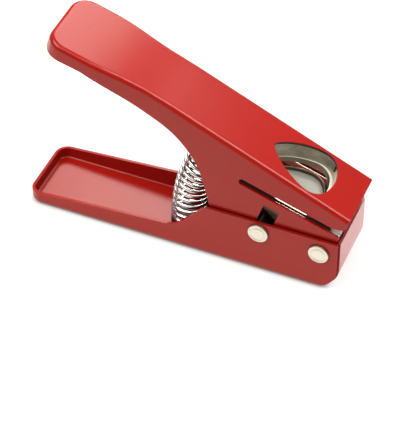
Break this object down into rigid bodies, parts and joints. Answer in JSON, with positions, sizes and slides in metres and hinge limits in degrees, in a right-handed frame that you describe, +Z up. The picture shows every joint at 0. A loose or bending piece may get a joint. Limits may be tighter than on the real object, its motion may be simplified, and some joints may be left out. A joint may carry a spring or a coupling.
{
  "type": "guitar pick punch",
  "caption": "Hand-squeezed punch that cuts guitar picks: a sprung lever with a pick-shaped window and die set swings in a folded tray base.",
  "frame": {"origin": "on the ground under the middle of the part's outside box", "axes": "+X forward to the punch head, +Y across to the far side, +Z up"},
  "size_m": [0.1606, 0.0384, 0.1034],
  "materials": {
    "red_paint": "semi-gloss red enamel",
    "zinc_plate": "pale zinc plate",
    "washer_steel": "plain steel",
    "dark_steel": "black oxide",
    "spring_chrome": "bright plated wire",
    "die_steel": "ground tool steel",
    "punch_steel": "ground tool steel with a polished face"
  },
  "bodies": {
    "base": {"base_shell": "red_paint", "front_pivot_pin": "zinc_plate", "rear_pin": "zinc_plate", "pin_caps": "zinc_plate", "front_pin_washers": "washer_steel", "rear_pin_washers": "washer_steel", "lower_spring_seat": "dark_steel", "return_spring": "spring_chrome"},
    "lever": {"lever_shell": "red_paint", "upper_spring_seat": "dark_steel", "window_collar": "die_steel", "die_plate": "die_steel", "slot_spacer": "die_steel", "guide_block": "die_steel", "die_stack_screws": "dark_steel", "die_front_screws": "dark_steel"},
    "punch_set": {"punch": "punch_steel", "punch_carrier": "die_steel", "punch_screws": "dark_steel"}
  },
  "joints": [
    {"name": "lever_pivot", "type": "hinge", "parent": "base", "child": "lever", "pos_m": [0.06734, 0, 0.0217], "axis": [0, -1, 0], "range_deg": [0, 18], "stiffness_Nm_per_rad": 3, "springref_deg": -20.05, "deforming": ["return_spring"]},
    {"name": "punch_slide", "type": "slide", "parent": "lever", "child": "punch_set", "axis": [0.309, 0, 0.9511], "range_m": [0, 0.00922]}
  ],
  "couplings": [
    {"joint": "punch_slide", "follows": "lever_pivot", "m_per_rad": 0.02931}
  ]
}
